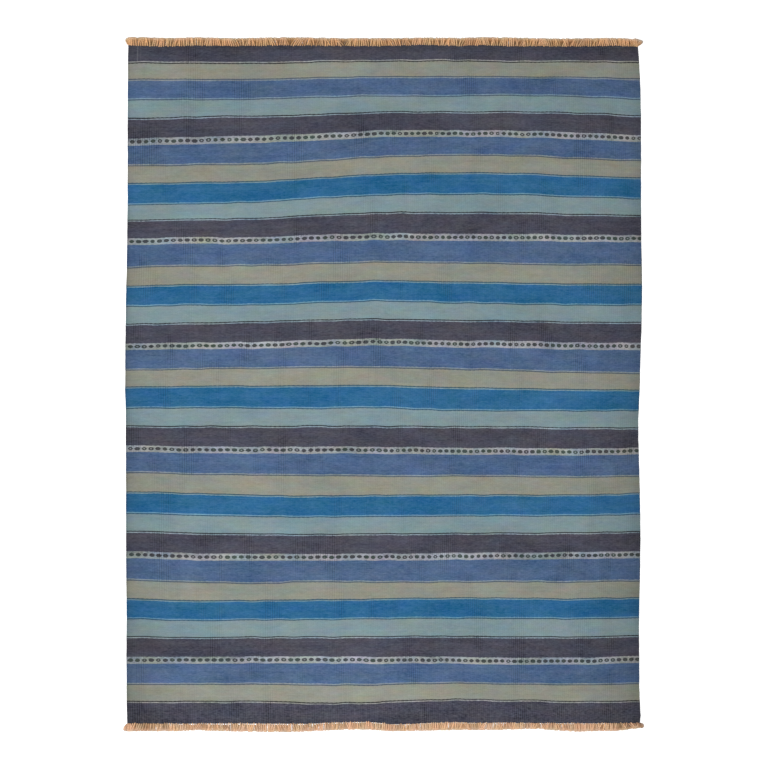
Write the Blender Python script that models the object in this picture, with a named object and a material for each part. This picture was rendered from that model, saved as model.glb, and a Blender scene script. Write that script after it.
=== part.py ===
"""A flat-woven striped kilim that lies on the floor, with a short warp fringe at both ends.

Metres, +Z up. X runs across the rug along the wefts, Y runs along the warps, and the floor is
z = 0. The origin is the middle of the whole rug, fringe included, on the floor.
"""
import math
import random

import bmesh
import bpy
import numpy as np

# The woven cloth, with a cord of warps along each side
CLOTH_HALF_LENGTH = 1.120
CLOTH_THICKNESS = 0.0030
SELVEDGE_WIDTH = 0.0055
SELVEDGE_CREST = 0.0022
SELVEDGE_HEIGHTS = (0.0026, 0.0044)

# The tables below are read by column number: a place along the rug, then the two sides or ends.
LEFT, RIGHT = 1, 2
COLUMN = {"bottom": 1, "top": 2}

# The side edges drift in and out as the weaver's tension changed.
SIDES = (
    # y, left x, right x
    (-1.126, -0.853, 0.850),
    (-1.100, -0.853, 0.853),
    (-0.915, -0.853, 0.849),
    (-0.815, -0.853, 0.846),
    (-0.720, -0.853, 0.849),
    (-0.520, -0.853, 0.853),
    (-0.360, -0.853, 0.849),
    (-0.220, -0.853, 0.846),
    (-0.120, -0.853, 0.846),
    (-0.020, -0.856, 0.849),
    (0.080, -0.856, 0.853),
    (0.180, -0.856, 0.855),
    (0.380, -0.853, 0.855),
    (0.500, -0.850, 0.852),
    (0.970, -0.850, 0.852),
    (1.122, -0.847, 0.846),
)

# The two ends of the weaving, where the bare warps leave it
WOVEN_ENDS = (
    # x, bottom y, top y
    (-0.850, -1.120, 1.119),
    (-0.774, -1.121, 1.115),
    (-0.650, -1.126, 1.120),
    (-0.450, -1.125, 1.121),
    (-0.250, -1.125, 1.121),
    (-0.060, -1.114, 1.121),
    (0.040, -1.126, 1.122),
    (0.140, -1.124, 1.126),
    (0.240, -1.121, 1.121),
    (0.420, -1.124, 1.115),
    (0.620, -1.126, 1.120),
    (0.740, -1.126, 1.118),
    (0.850, -1.121, 1.116),
)

# The two lines along which the fringe was trimmed
FRINGE_TIPS = (
    # x, bottom y, top y
    (-0.863, -1.134, 1.141),
    (-0.820, -1.147, 1.152),
    (-0.640, -1.150, 1.148),
    (-0.610, -1.144, 1.151),
    (-0.540, -1.149, 1.150),
    (-0.400, -1.151, 1.148),
    (-0.310, -1.152, 1.152),
    (-0.150, -1.145, 1.148),
    (0.020, -1.151, 1.148),
    (0.160, -1.147, 1.151),
    (0.280, -1.145, 1.148),
    (0.420, -1.144, 1.150),
    (0.500, -1.139, 1.149),
    (0.640, -1.152, 1.149),
    (0.780, -1.149, 1.148),
    (0.863, -1.133, 1.136),
)

# Soft lengthwise creases, left from folding, along which the cloth lifts off the floor
CREASES = (
    # x and y at the lower end, x and y at the upper end, left and right width, height
    (-0.680, -0.960, -0.737, -0.160, 0.060, 0.036, 0.0045),
    (-0.032, -0.060, -0.032, 0.130, 0.016, 0.016, 0.0018),
    (0.024, -0.040, 0.024, 0.150, 0.016, 0.024, 0.0018),
    (0.592, -0.900, 0.737, -0.080, 0.045, 0.040, 0.0045),
)
CREASE_FADE = 0.8

# The cloth's grid of faces: counts on each flank of a crease, beside the creases, and along the rug
FLANK_FACES = (3, 2, 2, 3)
PLAIN_FACES = (2, 6, 1, 6, 2)
ROW_MARKS = (-CLOTH_HALF_LENGTH, -0.060, 0.150, CLOTH_HALF_LENGTH)
ROW_FACES = (15, 6, 14)

# The fringe: a strip of warp roots along each woven end, and locks of warps beyond it
GAP = 0.0003
STRIP_DEPTH = 0.0050
STRIP_THICKNESS = 0.0022
LOCKS = 150
LOCK_ROOT_WIDTH = 0.0082
LOCK_MIDDLE_WIDTH = 0.0096
LOCK_TIP_WIDTH = 0.0082
LOCK_MIDDLE_THICKNESS = 0.0030
LOCK_TIP_THICKNESS = 0.0018
LOCK_TOP_SHARE = 0.62
LOCK_MIDDLE_PLACE = 0.5
LOCK_SWAY = 0.0006
TRIM_UNEVENNESS = 0.0025
FRINGE_REACH = 1.150
FRINGE_HALF_WIDTH = {"bottom": 0.863, "top": 0.857}
SPLAYED_LOCKS = 6
SPLAYED_WIDENING = 0.3
SEEDS = {"bottom": 23, "top": 11}

WOOL = ("flat_woven_wool", (0.131, 0.178, 0.214, 1.0), 0.93)
WARP = ("undyed_warp", (0.491, 0.283, 0.159, 1.0), 0.90)


def read_table(table, place, column):
    """The value in one column of a table, at a place along its first column."""
    rows = np.array(table)
    return float(np.interp(place, rows[:, 0], rows[:, column]))


def crease_x(crease, y):
    """The x of a crease's crest; past the crease's ends the line goes straight on."""
    x_low, y_low, x_high, y_high = crease[:4]
    return float(np.interp(y, (y_low, y_high), (x_low, x_high)))


def lift(x, y):
    """How high the underside of the cloth stands off the floor."""
    height = 0.0
    for crease in CREASES:
        _, y_low, _, y_high, left_width, right_width, crest = crease
        off_crest = x - crease_x(crease, y)
        across = off_crest / (right_width if off_crest > 0.0 else left_width)
        along = (y - y_low) / (y_high - y_low)
        if abs(across) < 1.0 and 0.0 < along < 1.0:
            bell = 0.5 * (1.0 + math.cos(math.pi * across))
            height += crest * bell * math.sin(math.pi * along) ** CREASE_FADE
    return height


def cloth_columns(y):
    """The x of each lengthwise line of the cloth at one y: close together where it bends."""
    left = read_table(SIDES, y, LEFT)
    right = read_table(SIDES, y, RIGHT)
    groups = []
    for crease, faces in zip(CREASES, FLANK_FACES):
        crest = crease_x(crease, y)
        up = np.linspace(crest - crease[4], crest, faces + 1)
        down = np.linspace(crest, crest + crease[5], faces + 1)
        groups.append(list(up) + list(down[1:]))
    groups.append([right - SELVEDGE_WIDTH, right - SELVEDGE_CREST, right])
    xs = [left, left + SELVEDGE_CREST, left + SELVEDGE_WIDTH]
    for group, faces in zip(groups, PLAIN_FACES):
        between = np.linspace(xs[-1], group[0], faces + 1)[1:-1]
        xs += list(between) + group
    return xs


def cloth_rows():
    """The y of each crosswise line of the cloth, close together at the short wrinkles."""
    ys = [ROW_MARKS[0]]
    for start, stop, faces in zip(ROW_MARKS, ROW_MARKS[1:], ROW_FACES):
        ys += list(np.linspace(start, stop, faces + 1)[1:])
    return ys


def cloth_thickness(number, last):
    """The cloth's thickness on a lengthwise line: the outer lines shape the selvedge cord."""
    from_side = min(number, last - number)
    return SELVEDGE_HEIGHTS[from_side] if from_side < len(SELVEDGE_HEIGHTS) else CLOTH_THICKNESS


def woven_end(end):
    """The corners along one end of the cloth: their x and their y."""
    edge = CLOTH_HALF_LENGTH if end == "top" else -CLOTH_HALF_LENGTH
    xs = cloth_columns(edge)
    return xs, [read_table(WOVEN_ENDS, x, COLUMN[end]) for x in xs]


def new_material(name, color, roughness):
    material = bpy.data.materials.new(name)
    material.use_nodes = True
    material.diffuse_color = color
    shader = material.node_tree.nodes["Principled BSDF"]
    shader.inputs["Base Color"].default_value = color
    shader.inputs["Roughness"].default_value = roughness
    shader.inputs["Metallic"].default_value = 0.0
    return material


def new_grid(columns, rows):
    """A flat grid of faces, with its corners by column and row number."""
    bm = bmesh.new()
    made = bmesh.ops.create_grid(bm, x_segments=columns, y_segments=rows, size=1.0)
    corners = sorted(made["verts"], key=lambda vert: (round(vert.co.x, 6), round(vert.co.y, 6)))
    return bm, {divmod(number, rows + 1): vert for number, vert in enumerate(corners)}


def thicken(bm, thickness):
    """Close a solid over a grid that is its underside; thickness holds each corner's own."""
    made = bmesh.ops.extrude_face_region(bm, geom=bm.faces[:], use_keep_orig=True)
    upper = {}
    for item in made["geom"]:
        if isinstance(item, bmesh.types.BMVert):
            upper[item.co.to_tuple(7)] = item
    for vert, height in thickness.items():
        upper[vert.co.to_tuple(7)].co.z += height
    bmesh.ops.recalc_face_normals(bm, faces=bm.faces[:])


def add_object(bm, name, material, collection):
    mesh = bpy.data.meshes.new(name)
    bm.to_mesh(mesh)
    bm.free()
    mesh.materials.append(material)
    collection.objects.link(bpy.data.objects.new(name, mesh))


def build_panel(collection, wool):
    """The woven cloth: one sheet with its selvedge cords and soft creases."""
    ys = cloth_rows()
    last_column, last_row = len(cloth_columns(0.0)) - 1, len(ys) - 1
    bm, corners = new_grid(last_column, last_row)
    thickness = {}
    for (column, row), vert in corners.items():
        y = ys[row]
        x = cloth_columns(y)[column]
        if row in (0, last_row):
            y = read_table(WOVEN_ENDS, x, COLUMN["top" if row else "bottom"])
        vert.co = (x, y, lift(x, y))
        thickness[vert] = cloth_thickness(column, last_column)
    thicken(bm, thickness)
    add_object(bm, "kilim_panel", wool, collection)


def set_ring(face, x, y, width, thickness):
    """Place the four corners of a lock's section: flat on the floor, and narrower on top."""
    middle = face.calc_center_median()
    for vert in face.verts:
        half = 0.5 * math.copysign(width, vert.co.x - middle.x)
        if vert.co.z > middle.z:
            vert.co = (x + half * LOCK_TOP_SHARE, y, thickness)
        else:
            vert.co = (x + half, y, 0.0)


def splay_share(number):
    """0 for most locks, rising to 1 at the last lock of each corner."""
    from_corner = min(number, LOCKS - 1 - number)
    return max(0.0, 1.0 - from_corner / SPLAYED_LOCKS)


def by_x(faces):
    return sorted(faces, key=lambda face: face.calc_center_median().x)


def build_fringe(end, collection, warp):
    """One end's fringe: a strip of warp roots, with locks drawn out of its outer side."""
    out = 1.0 if end == "top" else -1.0
    end_xs, end_ys = woven_end(end)
    pitch = (end_xs[-1] - end_xs[0]) / LOCKS
    centres = [end_xs[0] + (number + 0.5) * pitch for number in range(LOCKS)]
    stations = [end_xs[0]]
    for centre in centres:
        stations += [centre - 0.5 * LOCK_ROOT_WIDTH, centre + 0.5 * LOCK_ROOT_WIDTH]
    stations.append(end_xs[-1])

    bm, corners = new_grid(len(stations) - 1, 1)
    for (column, row), vert in corners.items():
        inner = float(np.interp(stations[column], end_xs, end_ys)) + out * GAP
        outer_row = 1 if end == "top" else 0
        depth = STRIP_DEPTH if row == outer_row else 0.0
        vert.co = (stations[column], inner + out * depth, 0.0)
    thicken(bm, {vert: STRIP_THICKNESS for vert in corners.values()})

    outward = by_x(face for face in bm.faces if face.normal.y * out > 0.5)
    roots = outward[1::2]
    middles = by_x(bmesh.ops.extrude_discrete_faces(bm, faces=roots)["faces"])
    rng = random.Random(SEEDS[end])
    tip_rings = []
    for number, (face, centre) in enumerate(zip(middles, centres)):
        share = splay_share(number)
        widening = 1.0 + SPLAYED_WIDENING * share
        tip_width = LOCK_TIP_WIDTH * widening
        limit = FRINGE_HALF_WIDTH[end] - 0.5 * tip_width
        reach = limit - abs(centres[0] if centre < 0.0 else centres[-1])
        sway = rng.uniform(-LOCK_SWAY, LOCK_SWAY) * (1.0 - share)
        tip_x = centre + math.copysign(reach * share ** 2, centre) + sway
        trim = rng.uniform(0.0, TRIM_UNEVENNESS)
        tip_y = out * min(FRINGE_REACH, abs(read_table(FRINGE_TIPS, tip_x, COLUMN[end])) - trim)
        tip_rings.append((tip_x, tip_y, tip_width, LOCK_TIP_THICKNESS))
        root_y = face.calc_center_median().y
        middle_x = centre + LOCK_MIDDLE_PLACE * (tip_x - centre)
        middle_y = root_y + LOCK_MIDDLE_PLACE * (tip_y - root_y)
        set_ring(face, middle_x, middle_y, LOCK_MIDDLE_WIDTH, LOCK_MIDDLE_THICKNESS)
    tips = by_x(bmesh.ops.extrude_discrete_faces(bm, faces=middles)["faces"])
    for face, ring in zip(tips, tip_rings):
        set_ring(face, *ring)
    bmesh.ops.recalc_face_normals(bm, faces=bm.faces[:])
    add_object(bm, "fringe_" + end, warp, collection)


def main():
    for item in list(bpy.data.objects):
        bpy.data.objects.remove(item, do_unlink=True)
    collection = bpy.data.collections.new("kilim")
    bpy.context.scene.collection.children.link(collection)
    build_panel(collection, new_material(*WOOL))
    warp = new_material(*WARP)
    for end in ("top", "bottom"):
        build_fringe(end, collection, warp)


main()
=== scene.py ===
"""The looks of a flat-woven striped kilim lying on the floor, seen from straight above.

Metres, +Z up, in the same frame as the CAD: X runs across the rug along the wefts, Y runs along
the warps, the floor is z = 0, and the origin is the middle of the whole rug.
"""
import math

import bpy
import numpy as np
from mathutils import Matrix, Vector


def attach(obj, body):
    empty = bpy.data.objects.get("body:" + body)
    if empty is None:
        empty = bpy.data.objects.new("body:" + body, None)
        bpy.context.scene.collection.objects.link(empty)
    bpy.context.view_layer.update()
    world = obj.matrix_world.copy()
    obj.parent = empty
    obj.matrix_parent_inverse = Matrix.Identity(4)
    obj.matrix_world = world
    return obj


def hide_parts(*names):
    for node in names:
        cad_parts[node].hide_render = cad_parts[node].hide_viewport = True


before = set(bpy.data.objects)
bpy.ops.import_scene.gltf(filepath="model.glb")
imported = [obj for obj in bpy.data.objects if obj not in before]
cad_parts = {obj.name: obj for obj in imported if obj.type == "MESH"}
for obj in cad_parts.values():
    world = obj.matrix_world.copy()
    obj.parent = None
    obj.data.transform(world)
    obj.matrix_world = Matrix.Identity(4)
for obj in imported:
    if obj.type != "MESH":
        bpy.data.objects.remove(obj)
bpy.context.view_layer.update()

# The cloth's shape as in part.py, with its edges measured once more in the photograph
CLOTH_THICKNESS = 0.0030
SIDES = (
    # y, left x, right x
    (-1.126, -0.8495, 0.8490),
    (-1.100, -0.8500, 0.8520),
    (-1.050, -0.8509, 0.8495),
    (-1.009, -0.8514, 0.8480),
    (-0.910, -0.8523, 0.8472),
    (-0.810, -0.8514, 0.8465),
    (-0.711, -0.8514, 0.8478),
    (-0.611, -0.8532, 0.8503),
    (-0.512, -0.8538, 0.8512),
    (-0.413, -0.8535, 0.8504),
    (-0.313, -0.8536, 0.8483),
    (-0.214, -0.8540, 0.8450),
    (-0.114, -0.8539, 0.8444),
    (-0.015, -0.8562, 0.8491),
    (0.085, -0.8560, 0.8514),
    (0.184, -0.8550, 0.8547),
    (0.283, -0.8537, 0.8567),
    (0.383, -0.8511, 0.8568),
    (0.482, -0.8497, 0.8539),
    (0.582, -0.8484, 0.8533),
    (0.681, -0.8479, 0.8532),
    (0.780, -0.8479, 0.8537),
    (0.880, -0.8475, 0.8532),
    (0.979, -0.8474, 0.8512),
    (1.079, -0.8471, 0.8464),
    (1.124, -0.8456, 0.8429),
)
ENDS = (
    # x, y of the cloth's bottom and top ends, y of the fringe's bottom and top tips
    (-0.850, -1.1251, 1.1242, -1.1512, 1.1498),
    (-0.800, -1.1250, 1.1209, -1.1512, 1.1497),
    (-0.740, -1.1249, 1.1190, -1.1513, 1.1472),
    (-0.680, -1.1258, 1.1205, -1.1509, 1.1470),
    (-0.620, -1.1251, 1.1223, -1.1473, 1.1495),
    (-0.560, -1.1250, 1.1214, -1.1506, 1.1475),
    (-0.500, -1.1246, 1.1202, -1.1518, 1.1458),
    (-0.430, -1.1251, 1.1219, -1.1529, 1.1470),
    (-0.370, -1.1257, 1.1225, -1.1537, 1.1484),
    (-0.310, -1.1258, 1.1225, -1.1540, 1.1494),
    (-0.250, -1.1262, 1.1224, -1.1519, 1.1480),
    (-0.190, -1.1232, 1.1214, -1.1487, 1.1471),
    (-0.130, -1.1214, 1.1212, -1.1459, 1.1462),
    (-0.090, -1.1203, 1.1213, -1.1455, 1.1463),
    (-0.050, -1.1197, 1.1210, -1.1460, 1.1464),
    (-0.015, -1.1230, 1.1208, -1.1480, 1.1463),
    (0.020, -1.1268, 1.1212, -1.1509, 1.1460),
    (0.070, -1.1278, 1.1227, -1.1506, 1.1468),
    (0.130, -1.1243, 1.1251, -1.1495, 1.1480),
    (0.190, -1.1220, 1.1231, -1.1479, 1.1475),
    (0.250, -1.1218, 1.1213, -1.1470, 1.1468),
    (0.300, -1.1227, 1.1229, -1.1470, 1.1485),
    (0.340, -1.1227, 1.1233, -1.1468, 1.1497),
    (0.390, -1.1223, 1.1209, -1.1465, 1.1490),
    (0.450, -1.1231, 1.1198, -1.1447, 1.1473),
    (0.510, -1.1239, 1.1205, -1.1431, 1.1456),
    (0.570, -1.1240, 1.1198, -1.1483, 1.1447),
    (0.640, -1.1242, 1.1198, -1.1525, 1.1452),
    (0.710, -1.1244, 1.1211, -1.1505, 1.1463),
    (0.770, -1.1243, 1.1219, -1.1499, 1.1467),
    (0.810, -1.1239, 1.1199, -1.1456, 1.1444),
    (0.850, -1.1236, 1.1178, -1.1402, 1.1408),
)
# The fringe's under-layer: how many yarns, the share left out, their shade, which is painted
# shadow where they show between the bundles, and how far out of the cloth they start
UNDER_YARNS = 800
UNDER_GAPS = {"bottom": 0.08, "top": 0.0}
UNDER_PAINTED_SHADE = {"bottom": 0.26, "top": -0.20}
UNDER_START = {"bottom": 0.0024, "top": -0.0010}
# Over it lie bundles, one for each rib of the cloth: how many yarns each has, how far apart they
# lie at the root, and how widely the tips of neighbouring bundles lean to one side
BUNDLE_YARNS = 3
YARN_SPACING = 0.0011
LEAN = {"bottom": 0.0060, "top": 0.0080}
# How much darker and closer the yarns are towards the corners, and where that starts
CORNER = {"bottom": 1.0, "top": 0.0}
CORNER_START, CORNER_WIDTH = 0.69, 0.10
# The last warps at each corner spread in a tuft
TUFT_YARNS = 38
TUFTS = (
    # end, shade, then the tips in turn from the fringe round to the side of the cloth
    ("top", 0.75, ((-0.829, 1.1490), (-0.846, 1.1480), (-0.8525, 1.1440), (-0.8550, 1.1385),
                   (-0.8520, 1.1310), (-0.8480, 1.1245))),
    ("top", 0.45, ((0.831, 1.1450), (0.850, 1.1400), (0.8575, 1.1370), (0.8585, 1.1325),
                   (0.8555, 1.1280), (0.8500, 1.1225))),
    ("bottom", 0.42, ((-0.829, -1.1505), (-0.8450, -1.1512), (-0.8580, -1.1495),
                      (-0.8615, -1.1450), (-0.8610, -1.1390), (-0.8570, -1.1325),
                      (-0.8520, -1.1260))),
    ("bottom", 0.10, ((0.846, -1.1385), (0.856, -1.1400), (0.8615, -1.1370), (0.8620, -1.1315),
                      (0.8600, -1.1260), (0.8550, -1.1235))),
)
CREASES = (
    # x and y at the lower end, x and y at the upper end, left and right width, height
    (-0.680, -0.960, -0.737, -0.160, 0.060, 0.036, 0.0045),
    (-0.032, -0.060, -0.032, 0.130, 0.016, 0.016, 0.0018),
    (0.024, -0.040, 0.024, 0.150, 0.016, 0.024, 0.0018),
    (0.592, -0.900, 0.737, -0.080, 0.045, 0.040, 0.0045),
)
# A crease rises and falls along its length as a sine to this power
CREASE_FADE = 0.8
LEFT, RIGHT = 1, 2
WOVEN_COLUMN = {"bottom": 1, "top": 2}
TIP_COLUMN = {"bottom": 3, "top": 4}
# Where along the rug the sides are read for the width of each fringe
END_Y = 1.12

# The stripes from the top of the photograph down, each with the y of its lower edge
STRIPES = (
    # wool, lower y
    ("charcoal", 1.0674), ("olive", 1.0127), ("blue", 0.9507), ("teal", 0.8928),
    ("charcoal", 0.8183), ("blue", 0.7434), ("olive", 0.6837), ("royal", 0.6173), ("teal", 0.5579),
    ("charcoal", 0.4808), ("blue", 0.3971), ("olive", 0.3323), ("royal", 0.2668), ("teal", 0.2062),
    ("charcoal", 0.1294), ("blue", 0.0494), ("olive", -0.0122),
    ("royal", -0.0823), ("teal", -0.1423),
    ("charcoal", -0.2216), ("blue", -0.3025), ("olive", -0.3677),
    ("royal", -0.4351), ("teal", -0.4959),
    ("charcoal", -0.5719), ("blue", -0.6549), ("olive", -0.7139),
    ("royal", -0.7774), ("teal", -0.8391),
    ("charcoal", -0.9164), ("blue", -0.9934), ("olive", -1.0519),
    ("charcoal", -1.1230),
)
TOP_Y = 1.120
WOOLS = {
    # sRGB as the light of the photograph shows it
    "charcoal": (71, 71, 84),
    "olive": (142, 144, 133),
    "blue": (76, 100, 135),
    "teal": (126, 147, 152),
    "royal": (39, 100, 144),
}
# How much more light falls on the rug than shows a colour as it is
LIGHT_LEVEL = 1.25
# How strongly the spinning and the dye of each wool vary
GRAIN = {"charcoal": 2.4, "olive": 0.86, "blue": 1.8, "teal": 0.82, "royal": 1.6}
# How much of that grain is grey rather than the wool's own colour
GREY_GRAIN = 0.55

# The parts of the grain, each with its cycles a metre across the rug and along it
CLOUDS = (2.6, 6.5)
CLOUD_DETAIL, CLOUD_ROUGHNESS = 6.0, 0.92
FINE = (90.0, 250.0)
FINE_MOTTLE = 0.105
# Fine mottle shows only in wools whose grain is over the first number, and fully over the second
FINE_GRAIN = (0.95, 1.95)
WEFT_LOTS = (0.8, 150.0)
WEFT_LOT = 0.052
STREAKS = (20.0, 240.0)
STREAK = 0.014
YARN_LENGTHS = (38.0, 310.0)
FLECKS = 0.085
RIB_LOTS = (0.83, 12.0)
RIB_LOT = 0.014
SPECK = 0.10
# The last stripe is coarser: between these heights the grain grows by these shares
FOOT = (-1.045, -1.065)
FOOT_FINE, FOOT_RIBS, FOOT_GROOVES = 0.8, 3.0, 1.3

# Painted shade: grooves between ribs are darker in patches, and each bead is darker at its ends
PATCHES = (13.0, 4.5)
PATCH_RANGE = (0.54, 0.66)
PLAIN_GROOVE, PATCH_GROOVE = 0.25, 2.9
RIB_GROOVE, BEAD_GROOVE = -0.09, -0.12
GROOVE_EVENER = 1.04

# How far the dye drifts between warm and cool, and between green and violet
WARM_PLACES = (7.0, 17.0)
WARM_DRIFT = 0.48
GREEN_PLACES = (11.0, 24.0)
GREEN_DRIFT = 0.28

# A pin line takes a little of the wool around it, and a dark one looks darker
PIN_SHARE = 0.40
PALE_ON_CHARCOAL_GAIN = 1.05
DARK_PIN_GAIN = 0.86
CHARCOAL_PIN_GAIN = 0.62

# How far the wefts wander up or down from straight, in millimetres
BOW_X = (-0.84, -0.62, -0.42, -0.22, 0.0, 0.22, 0.42, 0.62, 0.84)
BOW = (
    # y, then the wander at each x of BOW_X
    (-1.052, -1.7, -2.4, -0.7, -6.4, -2.6, 5.4, 4.1, -0.4, 1.0),
    (-0.916, 0.9, 0.0, 2.4, 1.4, 0.5, 0.0, -1.5, -3.1, 3.2),
    (-0.777, 1.9, -4.3, -2.5, -2.3, 1.4, 2.2, 2.4, 0.6, 5.7),
    (-0.714, 1.7, -5.4, -5.2, -1.6, -0.3, 4.3, 3.6, 0.6, 4.7),
    (-0.655, 8.1, 0.7, -3.8, 1.9, -0.5, -0.2, 1.1, -0.3, 4.7),
    (-0.572, 6.6, -1.2, -3.4, -2.5, -2.3, 0.4, 1.8, 3.1, 6.3),
    (-0.368, 9.7, 3.3, -2.2, -4.5, -2.0, -1.8, -1.3, -1.2, 4.1),
    (-0.302, 10.2, 4.6, 2.9, 1.1, -2.6, -1.3, -2.0, -4.9, -2.6),
    (-0.222, 7.4, 2.3, 2.3, 2.0, 1.5, -0.8, -2.2, -4.3, -0.9),
    (-0.142, 2.3, 0.5, 1.1, 1.5, 0.0, -0.4, -0.7, -3.6, -4.0),
    (-0.082, 4.1, 4.3, 4.8, 2.9, 4.1, -4.2, -4.2, -6.3, -4.1),
    (0.049, -1.1, 1.2, 3.3, 7.0, 6.0, 1.3, -2.6, -10.2, -13.4),
    (0.129, -6.6, -3.9, -2.2, 3.9, 8.9, 2.2, 1.4, -3.9, -5.0),
    (0.206, -8.5, -6.0, -0.9, 4.6, 7.1, 2.3, 2.1, -2.9, -2.8),
    (0.267, -8.5, -3.8, -2.8, 3.7, 10.4, 4.4, -0.1, -3.5, -4.6),
    (0.397, -10.4, -5.7, -3.6, 1.9, 8.3, 4.7, 2.4, -1.5, -2.8),
    (0.481, -9.8, -5.8, -7.2, 2.0, 6.3, 4.2, 4.3, 1.4, -0.4),
    (0.617, -21.5, -17.8, -13.2, -1.0, 10.5, 12.9, 12.3, 4.9, -1.4),
    (0.743, -21.0, -16.4, -12.8, -4.3, 10.7, 13.9, 14.0, 5.6, -3.1),
    (0.818, -17.6, -12.9, -7.8, -0.2, 9.8, 10.4, 9.2, 4.1, -5.9),
    (0.893, -15.0, -9.2, -6.9, -1.3, 7.1, 7.1, 8.1, 4.8, -4.6),
    (0.951, -8.6, -6.7, -6.0, 0.0, 5.4, 4.0, 7.7, 3.6, -5.3),
    (1.067, -2.0, -3.3, -4.6, 0.6, 2.8, 3.9, 0.4, 1.3, -1.7),
)
BOW_UNIT = 0.001
# Each weft also wavers by up to this many millimetres, with a knot every so many metres
WAVER, WAVER_STEP = 1.7, 0.045

# The weave: ribs of weft over the warps, and the beads of weft on each rib
RIBS = 236
HALF_WIDTH = 0.848
RIB = 2.0 * HALF_WIDTH / RIBS
# The warps stand wider apart on the left: 111 of the ribs fill the left half of the cloth
LEFT_RIBS = 111
RIB_STEPS = 4
RIB_RISE = 0.0003
GROOVE_DEPTH = 0.0004
# The cloth cockles up and down by up to twice this much
COCKLE = 0.00018
# A ring at half height stands this far proud, so no face is edge-on to the map of the cloth
EDGE_BULGE = 0.0003
BEAD = 0.0021
# The side cords take this much of the cloth's width each
CORD_INSET = 0.0040

# The kinds of change from stripe to stripe: a pair of pin lines, a dotted band, or nothing
PINS, BAND, PLAIN = 0.0, 1.0, 2.0
PIN = 0.0034
# A line steps down along each bead by this share of it, and drifts a little
BEAD_SLANT = -0.35
LINE_DRIFT = 0.0006
LINE_PLACES = (9.0, 7.3)
BAND_ABOVE = 0.0120
BAND_BELOW = 0.0108
BAND_PLACES = (6.0, 3.1)
BAND_GROUNDS = ((157, 158, 166), (146, 153, 148), (142, 152, 162))
DOT_RIBS = 3
DOT_HALF_WIDTH = 0.0082
DOT_HALF_HEIGHT = 0.0058
DOT_RAISE = 0.0004
DOT_COLORS = ((66, 67, 72), (64, 76, 72))
# How much dots differ in place, width and height
DOT_WANDER = 0.12
DOT_UNEVEN_WIDTH = 0.0022
DOT_UNEVEN_HEIGHT = 0.0014
# Some dots are open: the share of them, the size of the middle, and how much of the ground shows
OPEN_DOTS = 0.26
OPEN_CORE = 0.16
OPEN_SHOW = 0.75

# Painted shade: the cloth is darker towards its sides, most near the bottom
EDGE_PAINTED_SHADE = (
    # distance from the middle where it starts, width, loss at the top and the bottom, side
    (0.640, 0.200, 0.02, 0.26, -1.0),
    (0.600, 0.240, 0.08, 0.28, 1.0),
    (0.820, 0.030, 0.10, 0.16, -1.0),
    (0.800, 0.050, 0.14, 0.12, 1.0),
)
# Painted shade, darker still on the left around this height: v, reach along it, start, width, loss
LEFT_PAINTED_SHADE = (0.14, 0.62, 0.800, 0.045, 0.11)
# Warps that show as pale lines in the first stripe: how far across they are, and how pale
BARE_WARPS = ((-0.8216, 0.040), (-0.8122, 0.014))
BARE_HALF_WIDTH = 0.0018
# The bottom of the rug catches more light, the more the further down between two heights: a base
# share, and a share more in the middle, which fades in between two distances from it
FOOT_LIGHT, FOOT_LIGHT_MIDDLE = 0.04, 0.05
FOOT_LIGHT_RANGE, MIDDLE_RANGE = (-0.75, -1.05), (0.70, 0.25)

# The relief in the wool's material: fibres a metre across and along, then depth and strength
FIBRES = (700.0, 2600.0)
FIBRE_BUMP = (0.00015, 0.5)
WEAVE_BUMP = (0.00035, 0.8)

# Undyed warp yarn: root, body and tip colours
YARN_COLORS = {
    "top": ((214, 174, 131), (235, 188, 141), (255, 226, 192)),
    "bottom": ((229, 190, 155), (238, 198, 162), (250, 218, 187)),
}
# Towards its tip every yarn comes nearer to this shade
TIP_SHADE = 0.76
# What the colour of the deepest yarns is multiplied by
SHADOW_TINT = (1.06, 0.92, 0.76, 1.0)
# The casts between which the yarn drifts, two pairs of them
WARM_CASTS = ((1.04, 0.98, 0.93, 1.0), (0.97, 1.01, 1.04, 1.0))
PINK_CASTS = ((1.015, 0.99, 1.02, 1.0), (0.985, 1.005, 0.95, 1.0))

# The photograph's place and lens, and its lights
CAMERA_PLACE, CAMERA_LENS = (0.0017, 0.0, 7.07), 100.0
LIGHTS = (
    # name, place, target, size, power
    ("overhead", (-0.55, -0.25, 3.9), (-0.5, -0.1, 0.0), 1.2, 117.0),
    ("side", (-8.4, -5.5, 15.8), (0.0, 0.0, 0.0), 4.0, 1350.0),
)


def linear(color):
    """An sRGB colour of 0 to 255 as the linear albedo that shows it under this scene's light."""
    shares = [value / 255.0 for value in color]
    scaled = [s / 12.92 if s <= 0.04045 else ((s + 0.055) / 1.055) ** 2.4 for s in shares]
    return tuple(s / LIGHT_LEVEL for s in scaled) + (1.0,)


def pin_color(own, other):
    """The sRGB of a line of the other stripe's wool, laid within a stripe of its own wool."""
    line, ground = np.array(WOOLS[other], float), np.array(WOOLS[own], float)
    gain = 1.0 if line.sum() > ground.sum() else DARK_PIN_GAIN
    if own == "charcoal":
        gain = PALE_ON_CHARCOAL_GAIN
    if other == "charcoal":
        gain = CHARCOAL_PIN_GAIN
    mixed = line + PIN_SHARE * (ground - line)
    mixed = mixed * line.mean() / mixed.mean()
    return np.clip(mixed * gain, 0.0, 255.0)


def read_table(table, places, column):
    """The values in one column of a table, at places along its first column."""
    rows = np.array(table)
    return np.interp(places, rows[:, 0], rows[:, column])


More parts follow.
